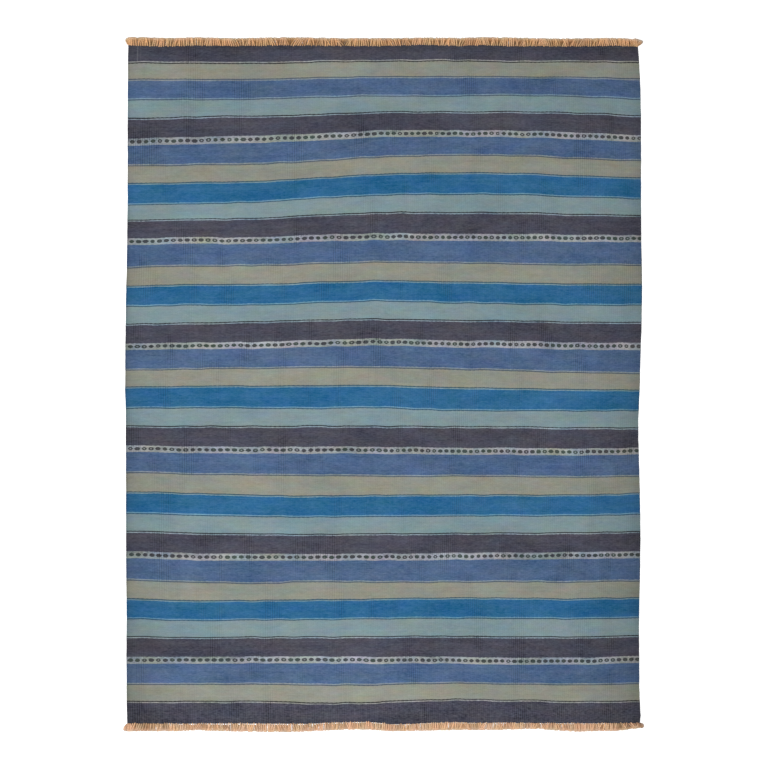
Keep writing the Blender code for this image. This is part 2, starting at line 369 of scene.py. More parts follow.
def lift(x, y):
    """How high the underside of the cloth stands off the floor, for arrays of x and y."""
    height = np.zeros_like(x)
    for x_low, y_low, x_high, y_high, left_width, right_width, crest in CREASES:
        off_crest = x - np.interp(y, (y_low, y_high), (x_low, x_high))
        across = np.clip(off_crest / np.where(off_crest > 0.0, right_width, left_width), -1.0, 1.0)
        along = np.clip((y - y_low) / (y_high - y_low), 0.0, 1.0)
        bell = 0.5 * (1.0 + np.cos(math.pi * across))
        height += crest * bell * np.sin(math.pi * along) ** CREASE_FADE
    return height


def smooth_noise(rng, places, step):
    """Soft random wander between -1 and 1 along an array of places, with knots a step apart."""
    knots = np.arange(places.min() - step, places.max() + 2.0 * step, step)
    values = rng.uniform(-1.0, 1.0, len(knots))
    number = np.clip(((places - knots[0]) / step).astype(int), 0, len(knots) - 2)
    share = (places - knots[number]) / step
    share = share * share * (3.0 - 2.0 * share)
    return values[number] * (1.0 - share) + values[number + 1] * share


# The weave's own coordinate v is the y that a weft would have if it were straight.
STRIPE_EDGES = np.array([TOP_Y] + [y for _, y in STRIPES])
STRIPE_WOOLS = [wool for wool, _ in STRIPES]


def weft_y(x, v):
    """The y at which the weft of height v passes x, for arrays of the same shape."""
    table, step = np.array(BOW), 0.01
    spread = np.arange(BOW_X[0], BOW_X[-1] + 1e-9, step)
    rng = np.random.default_rng(61)
    wander = np.array([soft_line(spread, row[1:]) + WAVER * smooth_noise(rng, spread, WAVER_STEP)
                       for row in table])
    column = np.clip((x - spread[0]) / step, 0.0, len(spread) - 1.001)
    row = np.clip(np.interp(v, table[:, 0], np.arange(len(table))), 0.0, len(table) - 1.001)
    c, r = column.astype(int), row.astype(int)
    fc, fr = column - c, row - r
    low = wander[r, c] * (1.0 - fc) + wander[r, c + 1] * fc
    high = wander[r + 1, c] * (1.0 - fc) + wander[r + 1, c + 1] * fc
    y = v + (low * (1.0 - fr) + high * fr) * BOW_UNIT
    first, last = STRIPE_EDGES[1], STRIPE_EDGES[-2]
    top, bottom = (read_table(ENDS, x, WOVEN_COLUMN[end]) for end in ("top", "bottom"))
    over = np.clip((v - first) / (STRIPE_EDGES[0] - first), 0.0, 1.0)
    under = np.clip((last - v) / (last - STRIPE_EDGES[-1]), 0.0, 1.0)
    y = np.where(over > 0.0, y + over * (top - (y - v) - STRIPE_EDGES[0]), y)
    return np.where(under > 0.0, y + under * (bottom - (y - v) - STRIPE_EDGES[-1]), y)


def soft_line(places, values):
    """A smooth curve through the values given at BOW_X."""
    knots, values = np.array(BOW_X), np.array(values)
    slopes = np.gradient(values, knots)
    number = np.clip(np.searchsorted(knots, places, side="right") - 1, 0, len(knots) - 2)
    span = knots[number + 1] - knots[number]
    t = (places - knots[number]) / span
    keep = (1.0 + 2.0 * t) * (1.0 - t) ** 2
    take = t * t * (3.0 - 2.0 * t)
    return (keep * values[number] + take * values[number + 1]
            + t * (1.0 - t) ** 2 * span * slopes[number]
            - t * t * (1.0 - t) * span * slopes[number + 1])


def stripe_facts(v):
    """For arrays of v at face centres: both wools, the nearest stripe edge and its kind."""
    edges, wools = STRIPE_EDGES, STRIPE_WOOLS
    own = np.clip(np.searchsorted(-edges, -v) - 1, 0, len(wools) - 1)
    to_upper = np.abs(edges[own] - v)
    to_lower = np.abs(v - edges[own + 1])
    edge = np.where(to_upper < to_lower, own, own + 1)
    other = np.clip(np.where(edge == own, own - 1, own + 1), 0, len(wools) - 1)
    kinds = [PLAIN]
    for upper, lower in zip(wools, wools[1:]):
        kinds.append(BAND if (upper, lower) == ("charcoal", "blue") else PINS)
    kinds.append(PLAIN)
    return own, other, edge, np.array(kinds)[edge]


def new_object(name, points, faces):
    """A smooth mesh object of this name, linked to the scene."""
    mesh = bpy.data.meshes.new(name)
    mesh.from_pydata([tuple(p) for p in points], [], faces)
    mesh.update()
    mesh.polygons.foreach_set("use_smooth", [True] * len(mesh.polygons))
    item = bpy.data.objects.new(name, mesh)
    bpy.context.scene.collection.objects.link(item)
    return item


def add_corner_data(item, woven):
    """Give each face corner its place in the weave, its stripe's wool and its neighbour's."""
    mesh = item.data
    count = len(mesh.loops)
    corner_points = np.empty(count, dtype=np.int32)
    mesh.loops.foreach_get("vertex_index", corner_points)
    totals = np.empty(len(mesh.polygons), dtype=np.int32)
    mesh.polygons.foreach_get("loop_total", totals)
    corner_faces = np.repeat(np.arange(len(totals)), totals)
    places = woven[corner_points]
    centre_v = np.bincount(corner_faces, places[:, 1]) / totals
    own, other, edge, kind = (facts[corner_faces] for facts in stripe_facts(centre_v))

    layer = mesh.uv_layers.new(name="woven")
    layer.data.foreach_set("uv", places.astype(np.float32).ravel())
    fills = np.array([linear(WOOLS[wool]) for wool in STRIPE_WOOLS])
    pins = np.array([[linear(pin_color(a, b)) for b in STRIPE_WOOLS] for a in STRIPE_WOOLS])
    for name, values in (("fill", fills[own]), ("pin", pins[own, other])):
        colors = mesh.color_attributes.new(name=name, type="FLOAT_COLOR", domain="CORNER")
        colors.data.foreach_set("color", values.astype(np.float32).ravel())
    grain = np.array([GRAIN[wool] for wool in STRIPE_WOOLS])[own]
    layer = mesh.attributes.new(name="grain", type="FLOAT", domain="CORNER")
    layer.data.foreach_set("value", grain.astype(np.float32))
    across = np.stack([places[:, 1] - STRIPE_EDGES[edge], kind, edge.astype(float)], axis=1)
    facts = mesh.attributes.new(name="across", type="FLOAT_VECTOR", domain="CORNER")
    facts.data.foreach_set("vector", across.astype(np.float32).ravel())


def lay_flat(item):
    """A second map for the textures that are made from the nodes: the cloth as seen from above."""
    mesh = item.data
    corner_points = np.empty(len(mesh.loops), dtype=np.int32)
    mesh.loops.foreach_get("vertex_index", corner_points)
    places = np.empty(len(mesh.vertices) * 3)
    mesh.vertices.foreach_get("co", places)
    flat = places.reshape(-1, 3)[:, :2]
    low, high = flat.min(axis=0), flat.max(axis=0)
    spots = 0.005 + 0.99 * (flat - low) / (high - low)
    layer = mesh.uv_layers.new(name="OFBake")
    layer.data.foreach_set("uv", spots[corner_points].astype(np.float32).ravel())


def cloth_rows():
    """The v of each crosswise line of the cloth: the stripes' edges and middles."""
    edges = STRIPE_EDGES[::-1]
    middles = 0.5 * (edges[:-1] + edges[1:])
    return np.sort(np.concatenate([edges, middles]))


def across_cloth(share):
    """How far across the cloth a share of all its ribs reaches, both counted from the left."""
    return np.interp(share, (0.0, LEFT_RIBS / RIBS, 1.0), (0.0, 0.5, 1.0))


def cloth_surface(shares, rows):
    """Points and weave places of a grid: shares run from side to side, rows are values of v."""
    share, v = np.meshgrid(shares, rows)
    y = v.copy()
    for _ in range(2):
        left = read_table(SIDES, y, LEFT) + CORD_INSET
        right = read_table(SIDES, y, RIGHT) - CORD_INSET
        x = left + (right - left) * across_cloth(share)
        y = weft_y(x, v)
    return x, y, share, v


def build_cloth():
    """The woven cloth: a closed slab with ribs along the warps on top and a plain underside."""
    rows = cloth_rows()
    fine = np.linspace(0.0, 1.0, RIBS * RIB_STEPS + 1)
    coarse = np.linspace(0.0, 1.0, RIBS + 1)
    points, woven, starts = [], [], []

    def add(x, y, z, share, v):
        starts.append(sum(len(block) for block in points))
        points.append(np.stack([x.ravel(), y.ravel(), z.ravel()], axis=1))
        woven.append(np.stack([(share.ravel() - 0.5) * RIB * RIBS, v.ravel()], axis=1))

    x, y, share, v = cloth_surface(fine, rows)
    under = lift(x, y)
    crest = np.abs(np.sin(math.pi * share * RIBS))
    rng = np.random.default_rng(5)
    waves = smooth_noise(rng, x + 0.3 * y, 0.07) + smooth_noise(rng, y - 0.4 * x, 0.09)
    top_z = under + CLOTH_THICKNESS - GROOVE_DEPTH + RIB_RISE * crest + COCKLE * waves
    add(x, y, top_z, share, v)
    cx, cy, cshare, cv = cloth_surface(coarse, rows)
    add(cx, cy, lift(cx, cy), cshare, cv)

    n_fine, n_coarse, n_rows = len(fine), len(coarse), len(rows)
    grid = np.arange(n_rows * n_fine).reshape(n_rows, n_fine)
    lower = starts[1] + np.arange(n_rows * n_coarse).reshape(n_rows, n_coarse)
    # The underside comes first: it shares the flat map, and there the top must be drawn last
    faces = np.stack([lower[:-1, :-1], lower[1:, :-1], lower[1:, 1:], lower[:-1, 1:]],
                     axis=-1).reshape(-1, 4).tolist()
    top_faces = np.stack([grid[:-1, :-1], grid[:-1, 1:], grid[1:, 1:], grid[1:, :-1]],
                         axis=-1).reshape(-1, 4).tolist()

    for row, out in ((0, -1.0), (n_rows - 1, 1.0)):
        middle_z = 0.5 * (top_z[row] + lift(x[row], y[row]))
        add(x[row], y[row] + out * EDGE_BULGE, middle_z, share[row], v[row])
        ring = starts[-1] + np.arange(n_fine)
        upper_row, lower_row = grid[row], lower[row]
        for k in range(n_fine - 1):
            quad = [upper_row[k], ring[k], ring[k + 1], upper_row[k + 1]]
            faces.append([int(p) for p in (quad if row == 0 else quad[::-1])])
        for k in range(n_coarse - 1):
            around = [lower_row[k], lower_row[k + 1]]
            around += [ring[p] for p in range((k + 1) * RIB_STEPS, k * RIB_STEPS - 1, -1)]
            faces.append([int(p) for p in (around if row == 0 else around[::-1])])
    end_rings = [starts[-2], starts[-1]]
    for fine_column, coarse_column, out in ((0, 0, -1.0), (n_fine - 1, n_coarse - 1, 1.0)):
        side_x, side_y = x[1:-1, fine_column], y[1:-1, fine_column]
        side_z = 0.5 * (top_z[1:-1, fine_column] + lift(side_x, side_y))
        add(side_x + out * EDGE_BULGE, side_y, side_z, share[1:-1, fine_column],
            v[1:-1, fine_column])
        ring = [end_rings[0] + fine_column] + list(starts[-1] + np.arange(n_rows - 2))
        ring.append(end_rings[1] + fine_column)
        for k in range(n_rows - 1):
            up = [grid[k, fine_column], grid[k + 1, fine_column], ring[k + 1], ring[k]]
            down = [ring[k], ring[k + 1], lower[k + 1, coarse_column], lower[k, coarse_column]]
            for quad in (up, down):
                faces.append([int(p) for p in (quad if out < 0.0 else quad[::-1])])

    item = new_object("kilim_cloth", np.concatenate(points), faces + top_faces)
    add_corner_data(item, np.concatenate(woven))
    lay_flat(item)
    return item


def build_selvedge(name, column, out):
    """One side's cord, wrapped by the turning wefts: a thick edge of slanting beads."""
    ring_step, sides, slant = BEAD * 0.5, 8, 0.0012
    half_width, half_height = 0.0029, 0.0022
    v = np.arange(STRIPE_EDGES[-1] + 0.001, STRIPE_EDGES[0] - 0.001, ring_step)
    rng = np.random.default_rng(17 + column)
    edge = read_table(SIDES, v, column)
    y = weft_y(edge, v)
    sway = 0.0004 * smooth_noise(rng, v, 0.05) + 0.0002 * smooth_noise(rng, v, 0.012)
    centre = read_table(SIDES, y, column) - out * half_width + sway
    swell = 1.0 + 0.10 * smooth_noise(rng, v, 0.02)
    bead = np.abs(np.sin(math.pi * (v - v[0]) / (BEAD * 2.0))) ** 0.6
    girth = (0.84 + 0.16 * bead) * swell
    angles = 2.0 * math.pi * np.arange(sides) / sides
    x = centre[:, None] + half_width * girth[:, None] * np.cos(angles)[None, :]
    z = half_height + half_height * girth[:, None] * np.sin(angles)[None, :]
    z = np.maximum(z, 0.0) + lift(x, np.broadcast_to(y[:, None], x.shape))
    ys = y[:, None] + slant * out * np.cos(angles)[None, :]
    points = np.stack([x.ravel(), ys.ravel(), z.ravel()], axis=1)
    along = np.broadcast_to(v[:, None], x.shape)
    half = 0.5 * RIB * RIBS * out
    woven = np.stack([(half + x - centre[:, None]).ravel(), along.ravel()], axis=1)
    rings = np.arange(len(v) * sides).reshape(len(v), sides)
    turned = np.roll(rings, -1, axis=1)
    faces = np.stack([rings[:-1], rings[1:], turned[1:], turned[:-1]], axis=-1).reshape(-1, 4)
    faces = faces.tolist() + [rings[0].tolist(), rings[-1][::-1].tolist()]
    item = new_object(name, points, faces)
    add_corner_data(item, woven)
    return item


def yarn_paths(root, tip, hump, side_bow, steps):
    """Points along each yarn: arrays of roots and tips (yarns, 3) give (yarns, steps + 1, 3)."""
    t = np.linspace(0.0, 1.0, steps + 1)[None, :]
    arch = np.sin(math.pi * t)
    reach = tip - root
    x = root[:, :1] + reach[:, :1] * t ** 1.25 + side_bow[:, None] * arch
    y = root[:, 1:2] + reach[:, 1:2] * t
    z = root[:, 2:] + reach[:, 2:] * t + hump[:, None] * arch
    return np.stack([x, y, z], axis=2)


def spin(rng, paths, radius, shade, plies, sides=4):
    """Yarns along the paths, each of one or two plies that loosen at the cut end."""
    count, rings = paths.shape[:2]
    t = np.linspace(0.0, 1.0, rings)[None, :]
    fray = np.clip((t - 0.62) / 0.38, 0.0, 1.0)
    thick = radius[:, None] * (0.92 + 0.25 * fray)
    phase = rng.uniform(0.0, 2.0 * math.pi, count)[:, None]
    turns = rng.uniform(2.0, 2.8, count)[:, None]
    apart = thick * (0.52 + 0.50 * fray) * (plies - 1)
    ply_radius = thick * (0.62 - 0.10 * fray) if plies > 1 else thick
    angles = 2.0 * math.pi * np.arange(sides) / sides
    points = []
    for ply in range(plies):
        twist = phase + 2.0 * math.pi * turns * t + math.pi * ply
        centre_x = paths[:, :, 0] + apart * np.cos(twist)
        centre_z = np.maximum(paths[:, :, 2] + apart * np.sin(twist), ply_radius + 0.0001)
        x = centre_x[:, :, None] + ply_radius[:, :, None] * np.cos(angles)
        z = centre_z[:, :, None] + ply_radius[:, :, None] * np.sin(angles)
        points.append(np.stack([x, np.broadcast_to(paths[:, :, 1:2], x.shape), z], axis=3))
    points = np.array(points)
    grid = np.arange(plies * count * rings * sides).reshape(plies * count, rings, sides)
    turned = np.roll(grid, -1, axis=2)
    quads = np.stack([grid[:, :-1], turned[:, :-1], turned[:, 1:], grid[:, 1:]], axis=-1)
    caps = np.concatenate([grid[:, 0, ::-1], grid[:, -1]], axis=0)
    faces = np.concatenate([quads.reshape(-1, 4), caps])
    along = np.broadcast_to(t[None, :, :, None], points.shape[:4])
    ply_shade = np.broadcast_to(shade[None, :, None, None], points.shape[:4])
    ply_shade = ply_shade + 0.06 * np.arange(plies)[:, None, None, None]
    return points.reshape(-1, 3), faces, along.ravel(), ply_shade.ravel()


class FringeEnd:
    """One end of the rug: where its cloth ends and where the tips of its fringe lie."""

    def __init__(self, end):
        self.end = end
        self.out = 1.0 if end == "top" else -1.0
        self.left_x = read_table(SIDES, self.out * END_Y, LEFT)
        self.right_x = read_table(SIDES, self.out * END_Y, RIGHT)

    def edge_y(self, x):
        return read_table(ENDS, x, WOVEN_COLUMN[self.end])

    def tip_y(self, x, trim):
        return read_table(ENDS, x, TIP_COLUMN[self.end]) - self.out * trim

    def near_corner(self, x):
        return CORNER[self.end] * np.clip((np.abs(x) - CORNER_START) / CORNER_WIDTH, 0.0, 1.0)


def under_layer(row, rng):
    """Thin yarns, straight and close together, which show between the bundles over them: their
    darker shade is painted shadow in those gaps.
    """
    count, inset, root_z, steps = UNDER_YARNS, 0.003, 0.0013, 5
    x = np.linspace(row.left_x + inset, row.right_x - inset, count)
    x = x + rng.normal(0.0, 0.0002, count)
    corner = row.near_corner(x)
    kept = rng.uniform(0.0, 1.0, count) > UNDER_GAPS[row.end] * (1.0 - corner)
    start = UNDER_START[row.end] * np.clip(0.7 + smooth_noise(rng, x, 0.009), 0.0, 1.6)
    start = start * (1.0 + 0.5 * smooth_noise(rng, x, 0.11)) * (1.0 - 1.2 * corner)
    lean = 0.0016 * smooth_noise(rng, x, 0.06)
    radius = rng.uniform(0.0014, 0.0018, count)
    root = np.stack([x, row.edge_y(x) + row.out * start, 0.0 * x + root_z], axis=1)
    tip = np.stack([x + lean, row.tip_y(x, rng.uniform(0.0010, 0.0030, count)), radius + 0.0001],
                   axis=1)
    paths = yarn_paths(root, tip, 0.0 * x, rng.normal(0.0, 0.0004, count), steps)
    # The under-layer's low shade is painted shadow between the bundles
    shade = UNDER_PAINTED_SHADE[row.end] + rng.uniform(-0.15, 0.15, count) - 0.42 * corner
    return spin(rng, paths[kept], radius[kept], shade[kept], 1)


def rib_bundles(row, rng):
    """The warps of each rib together, leaning with their neighbours."""
    ribs, per_rib, steps = RIBS + 2, BUNDLE_YARNS, 8
    sizes = rng.integers(1, 4, ribs)
    group = np.repeat(np.arange(ribs), sizes)[:ribs]
    middles = (np.arange(ribs) + 0.5) / ribs
    rib_x = row.left_x + (row.right_x - row.left_x) * across_cloth(middles)
    # In busy stretches the bundles lean further,
    busy = np.clip(0.5 + 0.9 * smooth_noise(rng, rib_x, 0.045), 0.0, 1.0)
    rib_lean = rng.normal(0.0, LEAN[row.end], ribs)[group] * (0.5 + busy)
    rib_lean = rib_lean + rng.normal(0.0, 0.0012, ribs)
    ragged = rng.uniform(-0.0004, 0.0030, ribs)
    # and their shades part too, while elsewhere they are all alike and pale
    bright = 0.88 - 0.16 * busy + (0.12 + 0.38 * busy) * rng.uniform(-1.0, 1.0, ribs)

    rib = np.repeat(np.arange(ribs), per_rib)
    place = np.tile(np.arange(per_rib) - 1.0, ribs)
    count = ribs * per_rib
    x = rib_x[rib] + place * YARN_SPACING + rng.normal(0.0, 0.0002, count)
    tip_x = x + rib_lean[rib] + place * 0.0005 + rng.normal(0.0, 0.0006, count)
    tip_x = np.clip(tip_x, row.left_x - 0.003, row.right_x + 0.003)
    radius = rng.uniform(0.00105, 0.00135, count)
    height = rng.uniform(0.0, 0.0014, ribs)[rib]
    root = np.stack([x, row.edge_y(x) - row.out * ragged[rib], 0.0028 + 0.0 * x], axis=1)
    tip_z = 0.0026 + height + rng.uniform(0.0, 0.0006, count)
    tip = np.stack([tip_x, row.tip_y(tip_x, rng.uniform(0.0, 0.0012, count)), tip_z], axis=1)
    hump = 0.0006 + height * 0.8
    paths = yarn_paths(root, tip, hump, rng.normal(0.0, 0.0008, ribs)[rib], steps)
    shade = np.clip(bright[rib] + rng.normal(0.0, 0.08, count), 0.2, 1.1)
    return spin(rng, paths, radius, shade - 0.12 * row.near_corner(x), 2)


def corner_tuft(row, rng, tuft_shade, outline):
    """The last warps, which spread round a corner of the cloth."""
    turn, count, steps = np.array(outline), TUFT_YARNS, 8
    side = np.sign(turn[0, 0])
    s = np.linspace(0.0, 1.0, count) + rng.normal(0.0, 0.01, count)
    knots = np.linspace(0.0, 1.0, len(turn))
    tip_x, tips_y = np.interp(s, knots, turn[:, 0]), np.interp(s, knots, turn[:, 1])
    cloth_x = row.right_x if side > 0.0 else row.left_x
    x = cloth_x - side * (0.0020 + 0.0090 * (1.0 - s) * rng.uniform(0.6, 1.0, count))
    root = np.stack([x, row.edge_y(x) - row.out * rng.uniform(-0.0005, 0.0015, count),
                     rng.uniform(0.0014, 0.0030, count)], axis=1)
    tip = np.stack([tip_x, tips_y, rng.uniform(0.0016, 0.0052, count)], axis=1)
    bow = side * rng.uniform(0.0, 0.0022, count) * s
    paths = yarn_paths(root, tip, rng.uniform(0.0, 0.0012, count), bow, steps)
    radius = rng.uniform(0.0011, 0.0015, count)
    return spin(rng, paths, radius, tuft_shade + rng.uniform(-0.42, 0.42, count), 2)


def build_yarns(end):
    """One end's fringe: a brown under-layer darkened as painted shadow, the ribs' bundles over it,
    and two corner tufts.
    """
    row = FringeEnd(end)
    rng = np.random.default_rng({"top": 31, "bottom": 47}[end])
    layers = [under_layer(row, rng), rib_bundles(row, rng)]
    layers += [corner_tuft(row, rng, tuft_shade, outline)
               for tuft_end, tuft_shade, outline in TUFTS if tuft_end == end]

    starts = np.cumsum([0] + [len(layer[0]) for layer in layers])
    faces = np.concatenate([layer[1] + start for layer, start in zip(layers, starts)])
    item = new_object("fringe_%s_yarns" % end, np.concatenate([layer[0] for layer in layers]),
                      faces.tolist())
    if row.out > 0.0:
        item.data.flip_normals()
    for name, number in (("along", 2), ("shade", 3)):
        values = np.concatenate([layer[number] for layer in layers])
        facts = item.data.attributes.new(name=name, type="FLOAT", domain="POINT")
        facts.data.foreach_set("value", values.astype(np.float32))
    return item


class Graph:
    """A short way to add nodes to one material and to wire them."""

    def __init__(self, name, color, roughness, sheen):
        self.material = bpy.data.materials.new(name)
        self.material.use_nodes = True
        self.material.diffuse_color = color
        self.nodes = self.material.node_tree.nodes
        self.links = self.material.node_tree.links
        self.shader = self.nodes["Principled BSDF"]
        self.shader.inputs["Roughness"].default_value = roughness
        self.shader.inputs["Specular IOR Level"].default_value = 0.2
        self.shader.inputs["Sheen Weight"].default_value = sheen
        self.shader.inputs["Sheen Roughness"].default_value = 0.6

    def put(self, socket, value):
        if isinstance(value, bpy.types.NodeSocket):
            self.links.new(value, socket)
        else:
            socket.default_value = value

    def add(self, kind, inputs=(), **settings):
        node = self.nodes.new(kind)
        for key, value in settings.items():
            setattr(node, key, value)
        for number, value in enumerate(inputs):
            if value is not None:
                self.put(node.inputs[number], value)
        return node

    def math(self, operation, *values):
        return self.add("ShaderNodeMath", values, operation=operation).outputs[0]

    def sum(self, *values):
        total = values[0]
        for value in values[1:]:
            total = self.math("ADD", total, value)
        return total

    def times(self, *values):
        total = values[0]
        for value in values[1:]:
            total = self.math("MULTIPLY", total, value)
        return total

    def between(self, value, low, high):
        """0 below low, 1 above high, and a straight ramp from one to the other."""
        node = self.add("ShaderNodeMapRange", (value, low, high, 0.0, 1.0))
        return node.outputs[0]

    def mix(self, share, first, second, blend="MIX"):
        node = self.add("ShaderNodeMix", data_type="RGBA", blend_type=blend)
        self.put(node.inputs["Factor"], share)
        self.put([s for s in node.inputs if s.name == "A" and s.type == "RGBA"][0], first)
        self.put([s for s in node.inputs if s.name == "B" and s.type == "RGBA"][0], second)
        return [s for s in node.outputs if s.type == "RGBA"][0]

    def vector(self, x, y, z=0.0):
        return self.add("ShaderNodeCombineXYZ", (x, y, z)).outputs[0]

    def grey(self, value):
        return self.vector(value, value, value)

    def shaded(self, color, level):
        """The colour times a level."""
        return self.mix(1.0, color, self.grey(level), "MULTIPLY")

    def noise(self, vector, scale=1.0, detail=2.0, roughness=0.5):
        node = self.add("ShaderNodeTexNoise")
        self.put(node.inputs["Vector"], vector)
        self.put(node.inputs["Scale"], scale)
        self.put(node.inputs["Detail"], detail)
        self.put(node.inputs["Roughness"], roughness)
        return node.outputs["Fac"]

    def sway(self, vector, amount, scale=1.0, detail=2.0):
        """Noise around zero, of about the given amount either way."""
        around_zero = self.math("SUBTRACT", self.noise(vector, scale, detail), 0.5)
        return self.times(around_zero, 4.0 * amount)

    def attribute(self, name, output):
        return self.add("ShaderNodeAttribute", attribute_name=name).outputs[output]

    def bump(self, height, distance, strength=1.0, under=None):
        node = self.add("ShaderNodeBump")
        self.put(node.inputs["Strength"], strength)
        self.put(node.inputs["Distance"], distance)
        self.put(node.inputs["Height"], height)
        if under is not None:
            self.put(node.inputs["Normal"], under)
        return node.outputs[0]


class WeavePlace:
    """Where a point lies in the weave, as sockets: across, along, and in its rib and its bead."""

    def __init__(self, g):
        place = g.add("ShaderNodeUVMap", uv_map="woven").outputs[0]
        self.u, self.v = g.add("ShaderNodeSeparateXYZ", (place,)).outputs[:2]
        facts = g.add("ShaderNodeSeparateXYZ", (g.attribute("across", "Vector"),))
        self.from_edge, self.kind, self.edge = facts.outputs[:3]
        self.grain = g.attribute("grain", "Fac")
        # Ribs lie side by side, and their beads are staggered from rib to rib
        self.rib = g.math("DIVIDE", g.math("ADD", self.u, HALF_WIDTH), RIB)
        self.rib_number = g.math("FLOOR", self.rib)
        stagger = g.times(g.math("MODULO", self.rib_number, 2.0), 0.5)
        bead = g.math("ADD", g.math("DIVIDE", self.v, BEAD), stagger)
        self.bead_number = g.math("FLOOR", bead)
        self.in_bead = g.math("SUBTRACT", g.math("FRACT", bead), 0.5)
        self.in_rib = g.math("SUBTRACT", g.math("FRACT", self.rib), 0.5)
        # 0 in the middle of a bead or a rib, and 1 at its end or side
        self.bead_end = g.math("POWER", g.math("ABSOLUTE", g.times(self.in_bead, 2.0)), 3.0)
        self.rib_side = g.math("POWER", g.math("ABSOLUTE", g.times(self.in_rib, 2.0)), 4.0)
        self.at_foot = g.between(self.v, *FOOT)
        # The distance from a stripe's edge, as the slanting beads and a small drift show it
        drift = g.sway(self.by_edge(g, LINE_PLACES), LINE_DRIFT)
        self.height = g.sum(self.from_edge, g.times(self.in_bead, BEAD_SLANT * BEAD), drift)

    def spot(self, g, cycles, third=0.0):
        """A place for noise with so many cycles a metre across the rug and along it."""
        return g.vector(g.times(self.u, cycles[0]), g.times(self.v, cycles[1]), third)

    def by_edge(self, g, cycles):
        """A place for noise that runs across the rug and differs from stripe edge to edge."""
        return g.vector(g.times(self.u, cycles[0]), g.times(self.edge, cycles[1]))


def pin_lines(g, weave):
    """Within a line's width of the edge between two stripes the wools change places."""
    near = g.math("LESS_THAN", g.math("ABSOLUTE", weave.height), PIN)
    pins = g.times(near, g.math("LESS_THAN", weave.kind, 0.5))
    return g.mix(pins, g.attribute("fill", "Color"), g.attribute("pin", "Color"))


def dotted_band(g, weave, color):
    """The pale band with a row of dots between charcoal and blue."""
    is_band = g.math("COMPARE", weave.kind, BAND, 0.1)
    inside = g.times(g.math("LESS_THAN", weave.height, BAND_ABOVE),
                     g.math("GREATER_THAN", weave.height, -BAND_BELOW))
    band = g.times(is_band, inside)
    group = weave.by_edge(g, BAND_PLACES)
    first, second, third = (linear(ground) for ground in BAND_GROUNDS)
    ground = g.mix(g.between(g.noise(group, 1.0, 1.0), 0.40, 0.62), first, second)
    ground = g.mix(g.between(g.noise(group, 1.9, 1.0), 0.5, 0.66), ground, third)

    # Each dot has three random numbers of its own: for its height, its width and its middle
    wander = g.sway(g.vector(g.times(weave.u, 1.6), weave.edge, 5.0), DOT_WANDER, 1.0, 0.0)
    dot_place = g.math("ADD", g.math("DIVIDE", weave.rib, float(DOT_RIBS)), wander)
    own_dot = g.add("ShaderNodeTexWhiteNoise", (g.vector(g.math("FLOOR", dot_place), weave.edge),),
                    noise_dimensions="2D")
    uneven = g.add("ShaderNodeSeparateXYZ", (own_dot.outputs["Color"],)).outputs
    dot_x = g.times(g.math("SUBTRACT", g.math("FRACT", dot_place), 0.5), DOT_RIBS * RIB)
    dot_x = g.math("SNAP", dot_x, RIB * 0.25)
    dot_y = g.sum(weave.from_edge, -DOT_RAISE, g.times(uneven[0], DOT_UNEVEN_HEIGHT),
                  -0.5 * DOT_UNEVEN_HEIGHT)
    dot_y = g.math("SNAP", dot_y, BEAD * 0.5)
    half_width = g.math("ADD", g.times(uneven[1], DOT_UNEVEN_WIDTH),
                        DOT_HALF_WIDTH - 0.5 * DOT_UNEVEN_WIDTH)
    far_x = g.math("POWER", g.math("ABSOLUTE", g.math("DIVIDE", dot_x, half_width)), 2.0)
    far_y = g.math("POWER", g.math("ABSOLUTE", g.math("DIVIDE", dot_y, DOT_HALF_HEIGHT)), 2.0)
    spread = g.math("ADD", far_x, far_y)
    is_open = g.math("GREATER_THAN", uneven[2], 1.0 - OPEN_DOTS)
    core = g.times(g.math("LESS_THAN", spread, OPEN_CORE), is_open)
    dark = g.mix(g.between(g.noise(group, 2.7, 1.0), 0.42, 0.6), *map(linear, DOT_COLORS))
    dark = g.mix(g.times(core, OPEN_SHOW), dark, ground)
    return g.mix(band, color, g.mix(g.math("LESS_THAN", spread, 1.0), ground, dark))


def spun_grain(g, weave):
    """Uneven dye and spinning: clouds of every size, long streaks along the wefts, and ribs."""
    clouds = g.noise(weave.spot(g, CLOUDS), 1.0, CLOUD_DETAIL, CLOUD_ROUGHNESS)
    clouds = g.math("SUBTRACT", clouds, 0.5)
    fine = g.times(g.sway(weave.spot(g, FINE), FINE_MOTTLE), g.between(weave.grain, *FINE_GRAIN))
    fine = g.times(fine, g.math("ADD", 1.0, g.times(weave.at_foot, FOOT_FINE)))
    weft_lot = g.sway(weave.spot(g, WEFT_LOTS), WEFT_LOT)
    streak = g.sway(weave.spot(g, STREAKS), STREAK, 1.0, 1.0)
    # A few short lengths of yarn stand out, paler or darker than the rest
    yarn = g.noise(weave.spot(g, YARN_LENGTHS, 3.0), 1.0, 1.0)
    pale, dark = g.between(yarn, 0.60, 0.72), g.between(yarn, 0.40, 0.28)
    flecks = g.times(g.math("SUBTRACT", pale, dark), FLECKS)
    rib_place = g.vector(g.times(weave.rib_number, RIB_LOTS[0]), g.times(weave.v, RIB_LOTS[1]))
    rib_lot = g.times(g.sway(rib_place, RIB_LOT),
                      g.math("ADD", 1.0, g.times(weave.at_foot, FOOT_RIBS)))
    bead_place = g.vector(weave.rib_number, weave.bead_number)
    speck = g.add("ShaderNodeTexWhiteNoise", (bead_place,), noise_dimensions="2D")
    speck = g.times(g.math("SUBTRACT", speck.outputs["Value"], 0.5), SPECK)
    return g.times(g.sum(clouds, fine, flecks, weft_lot, streak, rib_lot, speck), weave.grain)


